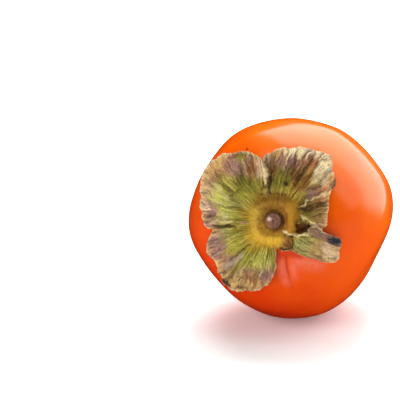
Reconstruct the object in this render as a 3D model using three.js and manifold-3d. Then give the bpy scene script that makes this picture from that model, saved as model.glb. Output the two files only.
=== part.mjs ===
// A ripe, pointed persimmon as picked, lying on its side with its leafy calyx facing forwards (-Y).
// Millimetres and degrees, +Z up. The origin is the centre of the small flat spot that the fruit rests on.
// The fruit is drawn along its own axis first: x to the right and y up as seen from the calyx end, z out
// of the calyx. One group then lays that axis down. Angles round the axis run anticlockwise from x.
import * as THREE from "three";
import { mergeVertices } from "three/addons/utils/BufferGeometryUtils.js";
import Module from "manifold-3d";

const wasm = await Module();
wasm.setup();

// Driving sizes of the fruit
const FRUIT_RADIUS = 35; // mean radius of the widest section
const SHOULDER_DEPTH = 36; // widest section to the shoulder at the calyx end
const POINT_DEPTH = 46; // widest section to the pointed end
const SHOULDER_FULLNESS = 2.15; // superellipse exponent: 2 is an ellipse, more is fuller
const POINT_FULLNESS = 1.85;
const SEAT_DEPTH = 3.4; // the hollow that the calyx sits in
const SEAT_RADIUS = 11;
// The section is a little squarish: [waves round the axis, share of the radius, angle of a crest]
const SECTION_WAVES = [
  [2, 0.008, 53],
  [3, 0.018, 37],
  [4, 0.02, 13],
  [6, 0.009, 8],
];

// How it lies
const AXIS_TILT = 13; // the calyx end is raised this far above level
const PRESSED = 0.55; // depth of skin flattened where it rests

// The calyx: a woody disc with a socket for the stub, and dry leathery lobes
const CLEARANCE = 0.4; // between the calyx and the skin under it
const DISC_RADIUS = 9.6;
const DISC_EDGE = 0.6; // its thickness at the edge
const SOCKET_RADIUS = 3.4;
const SOCKET_FLOOR = 0.8;
const RING_RADIUS = 6.5; // the raised, squarish ring round the socket
const RING_HEIGHT = 1.6;
const RING_WIDTH = 1.7;
const RING_SQUARENESS = 0.07;
const SHEET = 0.9; // thickness of the lobes
const ROOT_RADIUS = 7.6; // the lobes start inside the disc
const ARCH = 0.9; // how far a lobe's middle stands off the skin

// The stub of the stem, and the dry style at the point
const STUB_RADIUS = 3.05;
const STUB_HEIGHT = 2.3;
const STUB_DIMPLE = 0.5;
const STYLE_RADIUS = 1.5;
const STYLE_LENGTH = 2.4;
const FIT_GAP = 0.3; // between pieces that touch

// A lobe is drawn on a flat map, in [angle round the axis, distance from it]. Its rim runs round it
// anticlockwise between the two ends of its root, which lies a little over the clearance, its lift. Its
// relief is a list of ridges, and valleys where the rise is below zero: [[start], [end], half width,
// rise]. The heights are added.
const UPPER_RIGHT = {
  lift: 0.1,
  root: [-16, 101],
  rim: [
    [-19, 11],
    [-19, 12.6],
    [-13, 14.4],
    [-7, 16.2],
    [-2, 17.8],
    [6, 18.2],
    [14, 18.9],
    [24, 19.9],
    [33, 22.2],
    [42, 24.6],
    [49, 26.7],
    [54, 27.7],
    [62, 26.8],
    [74, 25.5],
    [84, 24.8],
    [94, 23.5],
    [100, 22.9],
    [104, 21.4],
    [105, 18.5],
    [105, 14.5],
    [104, 11],
  ],
  relief: [
    [[77, 10], [80, 19], 2.2, -1.2],
    [[58, 13], [58, 21], 2.0, -1.0],
    [[62, 24], [92, 21], 2.6, 0.8],
    [[52, 20], [52, 28], 1.1, 1.5],
    [[44, 22], [38, 19], 2.6, 1.2],
    [[66, 12], [66, 17], 1.4, 0.7],
    [[32, 10], [25, 16], 2.0, -0.9],
    [[14, 13], [20, 20], 1.6, 0.9],
    [[3, 11], [-2, 17], 1.5, 1.4],
    [[-15, 10], [-14, 14], 2.0, -1.4],
    [[101, 13], [102, 20], 2.4, -1.0],
  ],
};
const UPPER_LEFT = {
  lift: 0.4,
  root: [105, 190],
  rim: [
    [101, 11],
    [98, 13.2],
    [96.5, 15.6],
    [100, 17.8],
    [103.5, 20],
    [106.5, 22.1],
    [112, 24],
    [119, 25.9],
    [127, 27.6],
    [135, 29.2],
    [143, 31],
    [151, 31],
    [160, 29.6],
    [170, 27.7],
    [180, 26],
    [187, 24.1],
    [190.5, 22.6],
    [188, 20.2],
    [184, 17.4],
    [183, 14.4],
    [186, 12],
    [189, 10.8],
  ],
  relief: [
    [[100, 12.5], [100, 19], 2.0, 3.0],
    [[108, 13], [108, 19], 1.6, -0.9],
    [[151, 19], [158, 12], 1.6, -0.9],
    [[128, 16], [126, 25], 2.2, -0.7],
    [[140, 15], [138, 24], 2.2, 0.6],
    [[166, 12], [166, 24], 2.8, 0.7],
    [[146, 31], [152, 31], 3.0, 0.6],
    [[183, 14], [189, 23], 2.0, 1.5],
    [[176, 17], [178, 22], 1.6, -0.5],
  ],
};
const LOWER_LEFT = {
  lift: 0.1,
  root: [179, 276],
  rim: [
    [180, 11],
    [177, 14],
    [177.5, 18],
    [181, 21],
    [187, 22.6],
    [192, 22.7],
    [197, 24.8],
    [205, 26.1],
    [215, 26.4],
    [220, 27],
    [224, 27.8],
    [230, 28.6],
    [236, 29.6],
    [241, 28.6],
    [248, 26.8],
    [256, 25.1],
    [264, 22.6],
    [270, 19.4],
    [275, 15.8],
    [274.5, 13.2],
    [277, 11.2],
  ],
  relief: [
    [[178, 12], [184, 21], 3.0, -0.9],
    [[223, 9.5], [223.5, 25], 1.5, -1.5],
    [[208, 13], [209, 24], 3.0, 0.8],
    [[196, 16], [199, 22], 1.2, -0.5],
    [[238, 13], [240, 23], 3.0, 0.8],
    [[256, 12], [256, 20], 1.6, -0.6],
    [[266, 14], [265, 20], 2.0, 0.7],
    [[232, 28], [240, 28], 2.0, 0.6],
  ],
};
// The lower right lobe is torn down its upper side, and what is left of it stands up as a folded strip.
const LOWER_RIGHT = {
  lift: 0.4,
  root: [284, 327],
  rim: [
    [287, 10.6],
    [297, 11.1],
    [307, 12.4],
    [313, 14.8],
    [317, 17.3],
    [321, 20.3],
    [324, 23],
    [329, 23.9],
    [336, 23.4],
    [343, 22.8],
    [347.5, 22.2],
    [349, 19.8],
    [351, 17.2],
    [355.5, 15.4],
    [357, 13.9],
    [351, 12.9],
    [343, 12.9],
    [336, 11.2],
    [330, 9.6],
  ],
  relief: [
    [[322, 12.5], [334, 21], 3.4, 1.6],
    [[343, 13], [347, 21], 2.2, 1.8],
    [[354, 14], [354, 14], 1.6, 0.8],
    [[326, 9.4], [310, 12.4], 1.3, 1.2],
    [[300, 10], [306, 11], 1.5, -0.5],
    [[326, 21], [326, 21], 2.4, -0.6],
  ],
};
const LOBES = [UPPER_RIGHT, UPPER_LEFT, LOWER_LEFT, LOWER_RIGHT];

// Mesh fineness
const FRUIT_ROWS = 34;
const FRUIT_COLUMNS = 54;
const ROW_CROWDING = 1.15; // above 1, the rows crowd towards the calyx end
const DISC_RINGS = [1.8, 3, 3.5, 4.1, 4.8, 5.7, 6.6, 7.6, 8.6, DISC_RADIUS];
const DISC_COLUMNS = 36;
const LOBE_ROWS = 9;
const LOBE_COLUMNS = 21;
const ROUND_SIDES = 24;
const SHORTEST_EDGE = 0.04;

const radians = THREE.MathUtils.degToRad;
const degrees = THREE.MathUtils.radToDeg;
const smooth = THREE.MathUtils.smoothstep;
const bell = (x) => Math.exp(-x * x);

// Radius of the section at an angle, as a share of FRUIT_RADIUS
function sectionShare(angle) {
  let share = 1;
  for (const [waves, part, crest] of SECTION_WAVES)
    share += part * Math.cos(radians(waves * (angle - crest)));
  return share;
}

// The skin, from fall 0 at the calyx end to 180 at the point
function skinAtFall(fall, angle) {
  const sine = Math.sin(radians(fall));
  const cosine = Math.cos(radians(fall));
  const power = 2 / (cosine >= 0 ? SHOULDER_FULLNESS : POINT_FULLNESS);
  const out = Math.pow(Math.max(sine, 0), power);
  const along = Math.pow(Math.abs(cosine), power);
  const radius = FRUIT_RADIUS * out * (1 + (sectionShare(angle) - 1) * out);
  const height =
    cosine >= 0
      ? SHOULDER_DEPTH * along - SEAT_DEPTH * bell(radius / SEAT_RADIUS)
      : -POINT_DEPTH * along;
  return onAxis(radius, angle, height);
}
function onAxis(radius, angle, height) {
  const turn = radians(angle);
  return new THREE.Vector3(radius * Math.cos(turn), radius * Math.sin(turn), height);
}

// The skin of the calyx half at a distance from the axis
function skinAtRadius(radius, angle) {
  const wave = sectionShare(angle) - 1;
  const share = radius / FRUIT_RADIUS;
  const out =
    Math.abs(wave) < 1e-6 ? share : (Math.sqrt(1 + 4 * wave * share) - 1) / (2 * wave);
  return skinAtFall(degrees(Math.asin(Math.pow(out, SHOULDER_FULLNESS / 2))), angle);
}

// A point of the flat map laid on the skin, and raised square to it
function overSkin(radius, angle, height) {
  const step = 0.05;
  const near = Math.max(radius, 2 * step);
  const outwards = skinAtRadius(near + step, angle).sub(skinAtRadius(near - step, angle));
  const round = onAxis(1, angle + 90, 0);
  const square = outwards.cross(round).normalize();
  if (radius === 0) square.set(0, 0, 1);
  return skinAtRadius(radius, angle).addScaledVector(square, height);
}

// A polar point on the flat map
function onMap([angle, radius]) {
  return new THREE.Vector3(
    radius * Math.cos(radians(angle)),
    radius * Math.sin(radians(angle)),
    0,
  );
}

// One closed piece from points in rows and columns: the faces follow the order of the list.
function closedGeometry(points, faces) {
  const geometry = new THREE.BufferGeometry();
  const position = new Float32Array(points.flatMap((point) => point.toArray()));
  geometry.setAttribute("position", new THREE.BufferAttribute(position, 3));
  geometry.setIndex(faces.flat());
  return geometry;
}

// A closed surface from rings of points between two poles, from the top down.
function ringedGeometry(top, rings, bottom) {
  const columns = rings[0].length;
  const points = [top, ...rings.flat(), bottom];
  const at = (row, column) => 1 + row * columns + (column % columns);
  const last = rings.length - 1;
  const faces = [];
  for (let column = 0; column < columns; column += 1) {
    faces.push([0, at(0, column), at(0, column + 1)]);
    for (let row = 0; row < last; row += 1) {
      faces.push([at(row, column), at(row + 1, column), at(row, column + 1)]);
      faces.push([at(row, column + 1), at(row + 1, column), at(row + 1, column + 1)]);
    }
    faces.push([points.length - 1, at(last, column + 1), at(last, column)]);
  }
  return closedGeometry(points, faces);
}

// A turned piece from a profile of [radius, height] points, from the top of the axis to its bottom
function turned(profile, sides) {
  const ring = ([radius, height]) =>
    Array.from({ length: sides }, (_, side) => onAxis(radius, (360 * side) / sides, height));
  const top = new THREE.Vector3(0, 0, profile[0][1]);
  const bottom = new THREE.Vector3(0, 0, profile[profile.length - 1][1]);
  return ringedGeometry(top, profile.slice(1, -1).map(ring), bottom);
}

// Solids for the joins and the cut
function toSolid(geometry) {
  const bare = geometry.clone();
  bare.deleteAttribute("normal");
  bare.deleteAttribute("uv");
  const merged = mergeVertices(bare, 1e-4);
  return new wasm.Manifold(
    new wasm.Mesh({
      numProp: 3,
      vertProperties: merged.attributes.position.array,
      triVerts: new Uint32Array(merged.index.array),
    }),
  );
}
// A joined or cut solid as a mesh, without the very short edges that crossing faces leave: the two ends
// of such an edge become one point, where only its own two faces go with it.
function toGeometry(solid) {
  const made = solid.getMesh();
  const points = [];
  for (let i = 0; i < made.vertProperties.length; i += 3)
    points.push(new THREE.Vector3().fromArray(made.vertProperties, i));
  const faces = [];
  const facesAt = points.map(() => new Set());
  for (let i = 0; i < made.triVerts.length; i += 3) {
    const face = [...made.triVerts.subarray(i, i + 3)];
    for (const corner of face) facesAt[corner].add(face);
    faces.push(face);
  }
  const neighbours = (point) => new Set([...facesAt[point]].flat());
  const merge = (kept, gone) => {
    const shared = neighbours(kept).intersection(neighbours(gone));
    if (shared.size !== 4) return;
    points[kept].lerp(points[gone], 0.5);
    for (const face of facesAt[gone]) {
      if (face.includes(kept)) {
        for (const corner of face) if (corner !== gone) facesAt[corner].delete(face);
        face.length = 0;
      } else {
        face[face.indexOf(gone)] = kept;
        facesAt[kept].add(face);
      }
    }
    facesAt[gone].clear();
  };
  for (const face of faces)
    for (let side = 0; side < face.length; side += 1) {
      const start = face[side];
      const end = face[(side + 1) % 3];
      if (points[start].distanceTo(points[end]) < SHORTEST_EDGE) merge(start, end);
    }
  return closedGeometry(
    points,
    faces.filter((face) => face.length === 3),
  );
}

function toMesh(name, geometry, color, roughness) {
  geometry.computeVertexNormals();
  const material = new THREE.MeshStandardMaterial({ color, roughness, metalness: 0 });
  const mesh = new THREE.Mesh(geometry, material);
  mesh.name = name;
  return mesh;
}

// Flesh and skin are one solid.
function fruitGeometry() {
  const rings = [];
  for (let row = 1; row < FRUIT_ROWS; row += 1) {
    const fall = 180 * Math.pow(row / FRUIT_ROWS, ROW_CROWDING);
    const ring = [];
    for (let column = 0; column < FRUIT_COLUMNS; column += 1)
      ring.push(skinAtFall(fall, (360 * column) / FRUIT_COLUMNS));
    rings.push(ring);
  }
  return ringedGeometry(skinAtFall(0, 0), rings, skinAtFall(180, 0));
}

// The disc is thin in the socket, thick in the ring and thin again at its edge.
function discThickness(radius, angle) {
  const squareness = 1 + RING_SQUARENESS * Math.cos(radians(4 * (angle - 45)));
  const wall = smooth(radius, SOCKET_RADIUS - 0.4, SOCKET_RADIUS + 0.9);
  const body = THREE.MathUtils.lerp(1.3, DISC_EDGE, smooth(radius, RING_RADIUS, DISC_RADIUS));
  const ring = RING_HEIGHT * bell((radius / squareness - RING_RADIUS) / RING_WIDTH);
  return SOCKET_FLOOR + (body + ring - SOCKET_FLOOR) * wall;
}
function discGeometry() {
  const upper = [];
  const under = [];
  for (const radius of DISC_RINGS) {
    const top = [];
    const bottom = [];
    for (let column = 0; column < DISC_COLUMNS; column += 1) {
      const angle = (360 * column) / DISC_COLUMNS;
      top.push(overSkin(radius, angle, CLEARANCE + discThickness(radius, angle)));
      bottom.push(overSkin(radius, angle, CLEARANCE));
    }
    upper.push(top);
    under.unshift(bottom);
  }
  const middle = overSkin(0, 0, CLEARANCE + SOCKET_FLOOR);
  return ringedGeometry(middle, [...upper, ...under], overSkin(0, 0, CLEARANCE));
}

// Height of a lobe's underside over its clearance. reach runs from 0 at the root to 1 at the rim.
function standOff(lobe, place, reach) {
  let rise = ARCH * smooth(reach, 0.05, 0.4) * (1 - 0.8 * smooth(reach, 0.6, 1));
  for (const [start, end, width, height] of lobe.relief) {
    const line = new THREE.Line3(onMap(start), onMap(end));
    const nearest = line.closestPointToPoint(place, true, new THREE.Vector3());
    rise += height * bell(nearest.distanceTo(place) / width);
  }
  const radius = place.length();
  const free = smooth(radius, ROOT_RADIUS, ROOT_RADIUS + 3);
  return lobe.lift + Math.max(rise, -lobe.lift) * free;
}

// A lobe is a sheet of even thickness, drawn in straight lines from its root to its rim.
function lobeGeometry(lobe) {
  const rim = new THREE.CatmullRomCurve3(lobe.rim.map(onMap), false, "centripetal");
  const ends = rim.getSpacedPoints(LOBE_COLUMNS);
  const points = [];
  ends.forEach((end, column) => {
    const angle = THREE.MathUtils.lerp(...lobe.root, column / LOBE_COLUMNS);
    const start = onMap([angle, ROOT_RADIUS]);
    for (let row = 0; row <= LOBE_ROWS; row += 1) {
      const reach = row / LOBE_ROWS;
      const place = start.clone().lerp(end, reach);
      const under = CLEARANCE + standOff(lobe, place, reach);
      const turn = degrees(Math.atan2(place.y, place.x));
      points.push(overSkin(place.length(), turn, under + SHEET));
      points.push(overSkin(place.length(), turn, under));
    }
  });
  const at = (column, row, side) => 2 * (column * (LOBE_ROWS + 1) + row) + side;
  const faces = [];
  const quad = (a, b, c, d) => faces.push([a, b, c], [a, c, d]);
  for (let column = 0; column < LOBE_COLUMNS; column += 1) {
    for (let row = 0; row < LOBE_ROWS; row += 1) {
      const corners = [
        [column, row],
        [column, row + 1],
        [column + 1, row + 1],
        [column + 1, row],
      ];
      const [a, b, c, d] = corners.map(([i, j]) => at(i, j, 0));
      const [e, f, g, h] = corners.map(([i, j]) => at(i, j, 1));
      faces.push([a, b, c], [a, c, d]);
      faces.push([e, g, f], [e, h, g]);
    }
    const next = column + 1;
    quad(at(column, 0, 1), at(column, 0, 0), at(next, 0, 0), at(next, 0, 1));
    const row = LOBE_ROWS;
    quad(at(column, row, 0), at(column, row, 1), at(next, row, 1), at(next, row, 0));
  }
  for (let row = 0; row < LOBE_ROWS; row += 1) {
    const last = LOBE_COLUMNS;
    quad(at(0, row, 0), at(0, row, 1), at(0, row + 1, 1), at(0, row + 1, 0));
    quad(at(last, row, 1), at(last, row, 0), at(last, row + 1, 0), at(last, row + 1, 1));
  }
  return closedGeometry(points, faces);
}

// The calyx is grown as one: its lobes are joined to the disc.
function calyxGeometry() {
  let calyx = toSolid(discGeometry());
  for (const lobe of LOBES) calyx = calyx.add(toSolid(lobeGeometry(lobe)));
  return toGeometry(calyx);
}

// The stub is a short barrel with a dimple where the twig parted from it.
function stubGeometry() {
  const foot = CLEARANCE + SOCKET_FLOOR + FIT_GAP;
  const top = foot + STUB_HEIGHT;
  return turned(
    [
      [0, top - STUB_DIMPLE],
      [0.7, top - STUB_DIMPLE],
      [STUB_RADIUS - 1.7, top - 0.1],
      [STUB_RADIUS - 1.05, top],
      [STUB_RADIUS - 0.5, top - 0.12],
      [STUB_RADIUS - 0.12, top - 0.5],
      [STUB_RADIUS, foot + STUB_HEIGHT * 0.5],
      [STUB_RADIUS - 0.15, foot + 0.2],
      [STUB_RADIUS - 0.4, foot],
      [0, foot],
    ],
    ROUND_SIDES,
  ).translate(0, 0, SHOULDER_DEPTH - SEAT_DEPTH);
}

// The style is a dry thorn on the point of the fruit.
function styleGeometry() {
  const foot = -POINT_DEPTH - FIT_GAP;
  return turned(
    [
      [0, foot],
      [STYLE_RADIUS - 0.3, foot],
      [STYLE_RADIUS, foot - 0.15],
      [STYLE_RADIUS * 0.85, foot - 0.5],
      [STYLE_RADIUS * 0.4, foot - 0.9],
      [STYLE_RADIUS * 0.3, foot - STYLE_LENGTH + 0.3],
      [STYLE_RADIUS * 0.2, foot - STYLE_LENGTH],
      [0, foot - STYLE_LENGTH],
    ],
    ROUND_SIDES / 2,
  );
}

// The axis is laid down with its calyx end raised, and the lowest skin is put just under the origin.
const lying = new THREE.Group();
lying.rotation.x = radians(90 - AXIS_TILT);
lying.updateMatrix();
let lowest = new THREE.Vector3(0, 0, Infinity);
for (let fall = 60; fall <= 130; fall += 0.5)
  for (let angle = 240; angle <= 300; angle += 0.5) {
    const point = skinAtFall(fall, angle).applyMatrix4(lying.matrix);
    if (point.z < lowest.z) lowest = point;
  }
lying.position.set(-lowest.x, -lowest.y, -lowest.z - PRESSED);
lying.updateMatrix();

// The skin under the level of the table is pressed flat.
const TABLE = 60;
const table = new THREE.BoxGeometry(TABLE, TABLE, TABLE)
  .translate(0, 0, -TABLE / 2)
  .applyMatrix4(lying.matrix.clone().invert());
const fruit = toSolid(fruitGeometry()).subtract(toSolid(table));

lying.add(toMesh("fruit", toGeometry(fruit), 0xf25a0c, 0.3));
lying.add(toMesh("calyx", calyxGeometry(), 0x9c8c4a, 0.8));
lying.add(toMesh("stem_stub", stubGeometry(), 0x6e4a3c, 0.55));
lying.add(toMesh("style_tip", styleGeometry(), 0x2b2320, 0.8));

const persimmon = new THREE.Group();
persimmon.add(lying);
export default persimmon;
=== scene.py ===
# A ripe, pointed persimmon lying on its side, its dry calyx facing forwards. Lengths below are in
# millimetres along the fruit's own axis: x to the right and y up as seen from the calyx end, z out of
# the calyx. laid_down() puts them in the frame, in metres. Angles round the axis run anticlockwise from x.
import math

import bpy
import numpy as np
from mathutils import Matrix, Vector


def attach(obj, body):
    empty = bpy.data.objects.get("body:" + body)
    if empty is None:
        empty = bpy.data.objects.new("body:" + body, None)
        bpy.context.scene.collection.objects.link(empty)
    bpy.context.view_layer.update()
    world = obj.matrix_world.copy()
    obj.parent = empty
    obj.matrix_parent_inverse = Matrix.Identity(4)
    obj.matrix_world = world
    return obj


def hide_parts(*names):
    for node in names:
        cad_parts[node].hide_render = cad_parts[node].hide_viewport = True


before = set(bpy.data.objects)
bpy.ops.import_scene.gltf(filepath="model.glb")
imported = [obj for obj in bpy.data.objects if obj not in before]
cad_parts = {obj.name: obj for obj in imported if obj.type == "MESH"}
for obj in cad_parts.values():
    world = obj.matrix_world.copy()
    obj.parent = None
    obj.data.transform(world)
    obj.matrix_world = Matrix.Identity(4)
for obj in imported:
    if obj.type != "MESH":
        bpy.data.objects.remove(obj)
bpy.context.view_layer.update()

# The fruit's form
FRUIT_RADIUS = 35.0
SHOULDER_DEPTH = 36.0
POINT_DEPTH = 46.0
SHOULDER_FULLNESS = 2.15
POINT_FULLNESS = 1.85
SEAT_DEPTH = 3.4
SEAT_RADIUS = 11.0
SEAT_LEVEL = SHOULDER_DEPTH - SEAT_DEPTH
# Waves of the section: (how many go round, share of the radius, angle of a crest)
SECTION_WAVES = [(2, 0.008, 53), (3, 0.018, 37), (4, 0.02, 13), (6, 0.009, 8)]
AXIS_TILT = 13.0
PRESSED = 0.55

# The calyx's form
CLEARANCE = 0.4
DISC_RADIUS = 9.6
DISC_BODY = 1.3
DISC_EDGE = 0.6
SOCKET_RADIUS = 3.4
SOCKET_FLOOR = 0.8
WALL_INSIDE = 0.4
WALL_OUTSIDE = 0.9
RING_RADIUS = 6.5
RING_HEIGHT = 1.6
RING_WIDTH = 1.7
RING_SQUARENESS = 0.07
SHEET = 0.9
ROOT_RADIUS = 7.6
ARCH = 0.9

# The stub's and the style's form
STUB_RADIUS = 3.05
STUB_HEIGHT = 2.3
STUB_DIMPLE = 0.5
FIT_GAP = 0.3
STYLE_RADIUS = 1.5
STYLE_LENGTH = 2.4
STYLE_GAP = 0.04

# Fine relief that the solids leave out: heights, and lengths of its features
CRUMPLE = 0.17
CRUMPLE_LENGTH = 5.4
CRINKLE = 0.04
CRINKLE_LENGTH = 2.2
RIB = 0.17
RIB_LENGTH = 1.7
RIM_WAVE = 0.34
RIM_WAVE_LENGTH = 6.0
RIM_NOTCH = 0.12
RIM_NOTCH_LENGTH = 3.6
RIM_NICK_LENGTH = 1.3
RIM_DRAWN_IN = 0.95
RIM_THINNING = 0.45
EDGE_RISE = 0.3
FOLD_DEPTH = 0.35
DISC_ROUGH = 0.14
DISC_ROUGH_LENGTH = 1.9
DISC_SWELL = 0.1
DISC_SWELL_LENGTH = 4.0
STUB_ROUGH = 0.05
STUB_ROUGH_LENGTH = 1.1
STYLE_LOBES = 0.12
STYLE_ROUGH = 0.08
STYLE_ROUGH_LENGTH = 0.9
SKIN_SWELL = 0.1
SKIN_SWELL_LENGTH = 17.0
GROOVE_DEPTH = 0.5
GROOVE_HALF_WIDTH = 1.3
BANK_HEIGHT = 0.28
BANK_HALF_WIDTH = 3.2

# Mesh fineness, and how far the fruit's rows gather at the calyx end
FRUIT_ROWS = 220
FRUIT_COLUMNS = 300
FALL_SPREAD = 1.08
LOBE_ROWS = 84
LOBE_COLUMNS = 116
DISC_ROWS = 46
DISC_COLUMNS = 150
ROUND_SIDES = 72

# Seeds of the random waves. Each lobe has its own, and the five numbers after it
SWELL_SEED = 5
FOLD_SEED = 60
EDGE_SEED = 62
DISC_SEED = 71
STUB_SEED = 81
STYLE_SEED = 91


class Lobe:
    """One lobe on the flat map, in (angle, radius) places. Its root is given by its ends' angles, and
    its relief by ridges and valleys: (start, end, half width, height)."""

    def __init__(self, seed, lift, root, rim, relief, fibres, ragged):
        self.seed = seed
        self.lift = lift
        self.root = root
        self.rim = rim
        self.relief = relief
        self.fibres = fibres
        self.ragged = ragged


UPPER_RIGHT = Lobe(
    seed=14,
    lift=0.1,
    root=(-16, 101),
    rim=[
        (-19, 11), (-19, 12.6), (-13, 14.4), (-7, 16.2), (-2, 17.8), (6, 18.2), (14, 18.9),
        (24, 19.9), (33, 22.2), (42, 24.6), (49, 26.7), (54, 27.7), (62, 26.8), (74, 25.5),
        (84, 24.8), (94, 23.5), (100, 22.9), (104, 21.4), (105, 18.5), (105, 14.5), (104, 11),
    ],
    relief=[
        ((77, 10), (80, 19), 2.2, -1.2),
        ((58, 13), (58, 21), 2.0, -1.0),
        ((62, 24), (92, 21), 2.6, 0.8),
        ((52, 20), (52, 28), 1.1, 1.5),
        ((44, 22), (38, 19), 2.6, 1.2),
        ((66, 12), (66, 17), 1.4, 0.7),
        ((32, 10), (25, 16), 2.0, -0.9),
        ((14, 13), (20, 20), 1.6, 0.9),
        ((3, 11), (-2, 17), 1.5, 1.4),
        ((-15, 10), (-14, 14), 2.0, -1.4),
        ((101, 13), (102, 20), 2.4, -1.0),
    ],
    fibres=34,
    ragged=1.0,
)
UPPER_LEFT = Lobe(
    seed=23,
    lift=0.4,
    root=(105, 190),
    rim=[
        (101, 11), (98, 13.2), (96.5, 15.6), (100, 17.8), (103.5, 20), (106.5, 22.1), (112, 24),
        (119, 25.9), (127, 27.6), (135, 29.2), (143, 31), (151, 31), (160, 29.6), (170, 27.7),
        (180, 26), (187, 24.1), (190.5, 22.6), (188, 20.2), (184, 17.4), (183, 14.4), (186, 12),
        (189, 10.8),
    ],
    relief=[
        ((100, 12.5), (100, 19), 2.0, 3.0),
        ((108, 13), (108, 19), 1.6, -0.9),
        ((151, 19), (158, 12), 1.6, -0.9),
        ((128, 16), (126, 25), 2.2, -0.7),
        ((140, 15), (138, 24), 2.2, 0.6),
        ((166, 12), (166, 24), 2.8, 0.7),
        ((146, 31), (152, 31), 3.0, 0.6),
        ((183, 14), (189, 23), 2.0, 1.5),
        ((176, 17), (178, 22), 1.6, -0.5),
    ],
    fibres=40,
    ragged=0.4,
)
LOWER_LEFT = Lobe(
    seed=37,
    lift=0.1,
    root=(179, 276),
    rim=[
        (180, 11), (177, 14), (177.5, 18), (181, 21), (187, 22.6), (192, 22.7), (197, 24.8),
        (205, 26.1), (215, 26.4), (220, 27), (224, 27.8), (230, 28.6), (236, 29.6), (241, 28.6),
        (248, 26.8), (256, 25.1), (264, 22.6), (270, 19.4), (275, 15.8), (274.5, 13.2), (277, 11.2),
    ],
    relief=[
        ((178, 12), (184, 21), 3.0, -0.9),
        ((223, 9.5), (223.5, 25), 1.5, -1.5),
        ((208, 13), (209, 24), 3.0, 0.8),
        ((196, 16), (199, 22), 1.2, -0.5),
        ((238, 13), (240, 23), 3.0, 0.8),
        ((256, 12), (256, 20), 1.6, -0.6),
        ((266, 14), (265, 20), 2.0, 0.7),
        ((232, 28), (240, 28), 2.0, 0.6),
    ],
    fibres=44,
    ragged=0.85,
)
LOWER_RIGHT = Lobe(
    seed=51,
    lift=0.4,
    root=(284, 327),
    rim=[
        (287, 10.6), (297, 11.1), (307, 12.4), (313, 14.8), (317, 17.3), (321, 20.3), (324, 23),
        (329, 23.9), (336, 23.4), (343, 22.8), (347.5, 22.2), (349, 19.8), (351, 17.2),
        (355.5, 15.4), (357, 13.9), (351, 12.9), (343, 12.9), (336, 11.2), (330, 9.6),
    ],
    relief=[
        ((322, 12.5), (334, 21), 3.4, 1.6),
        ((343, 13), (347, 21), 2.2, 1.8),
        ((354, 14), (354, 14), 1.6, 0.8),
        ((326, 9.4), (310, 12.4), 1.3, 1.2),
        ((300, 10), (306, 11), 1.5, -0.5),
        ((326, 21), (326, 21), 2.4, -0.6),
    ],
    fibres=20,
    ragged=1.0,
)
LOBES = [UPPER_RIGHT, UPPER_LEFT, LOWER_LEFT, LOWER_RIGHT]


def smooth(value, low, high):
    share = np.clip((value - low) / (high - low), 0.0, 1.0)
    return share * share * (3.0 - 2.0 * share)


def bell(value):
    return np.exp(-value * value)


def ripples(points, length, seed, count=16):
    """A smooth random height at each point, about one unit deep, with features of the given length."""
    rng = np.random.default_rng(seed)
    points = np.atleast_2d(points)
    total = np.zeros(len(points))
    for _ in range(count):
        way = rng.normal(size=points.shape[1])
        way /= np.linalg.norm(way)
        wave = length * rng.uniform(0.7, 1.6)
        total += np.sin(points @ way * (2 * math.pi / wave) + rng.uniform(0, 2 * math.pi))
    return total * math.sqrt(2.0 / count)


def section_share(angle):
    share = np.ones_like(angle)
    for waves, part, crest in SECTION_WAVES:
        share = share + part * np.cos(np.radians(waves * (angle - crest)))
    return share


def on_axis(radius, angle, height):
    turn = np.radians(angle)
    return np.stack([radius * np.cos(turn), radius * np.sin(turn), height + 0.0 * turn], axis=-1)


def skin_at_fall(fall, angle):
    """The skin, from fall 0 at the calyx end to 180 at the point."""
    sine = np.maximum(np.sin(np.radians(fall)), 0.0)
    cosine = np.cos(np.radians(fall))
    power = np.where(cosine >= 0, 2 / SHOULDER_FULLNESS, 2 / POINT_FULLNESS)
    out = sine**power
    along = np.abs(cosine) ** power
    radius = FRUIT_RADIUS * out * (1 + (section_share(angle) - 1) * out)
    shoulder = SHOULDER_DEPTH * along - SEAT_DEPTH * bell(radius / SEAT_RADIUS)
    return on_axis(radius, angle, np.where(cosine >= 0, shoulder, -POINT_DEPTH * along))


def skin_at_radius(radius, angle):
    """The skin of the calyx half at a distance from the axis."""
    wave = section_share(angle) - 1
    wave = np.where(np.abs(wave) < 1e-6, 1e-6, wave)
    share = radius / FRUIT_RADIUS
    out = (np.sqrt(1 + 4 * wave * share) - 1) / (2 * wave)
    return skin_at_fall(np.degrees(np.arcsin(out ** (SHOULDER_FULLNESS / 2))), angle)


def square_to(way, angle):
    """The direction straight out of the skin, from one that runs down it at an angle round the axis."""
    around = on_axis(np.ones_like(angle), angle + 90, 0.0)
    square = np.cross(way, around)
    return square / np.linalg.norm(square, axis=-1, keepdims=True)


def over_skin(radius, angle, height):
    """A place on the flat map laid on the skin, and raised square to it."""
    step = 0.05
    near = np.maximum(radius, 2 * step)
    outwards = skin_at_radius(near + step, angle) - skin_at_radius(near - step, angle)
    return skin_at_radius(radius, angle) + square_to(outwards, angle) * np.asarray(height)[..., None]


def rolled(points):
    """Turns the axis down to AXIS_TILT above level."""
    turn = math.radians(90 - AXIS_TILT)
    x, y, z = np.moveaxis(points, -1, 0)
    return np.stack(
        [x, y * math.cos(turn) - z * math.sin(turn), y * math.sin(turn) + z * math.cos(turn)],
        axis=-1,
    )


def lowest_skin():
    fall, angle = np.meshgrid(np.arange(60, 130.25, 0.5), np.arange(240, 300.25, 0.5), indexing="ij")
    low = rolled(skin_at_fall(fall, angle)).reshape(-1, 3)
    return low[low[:, 2].argmin()]


RESTING = lowest_skin() + np.array([0.0, 0.0, PRESSED])


def laid_down(points):
    return (rolled(points) - RESTING) / 1000.0


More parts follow.
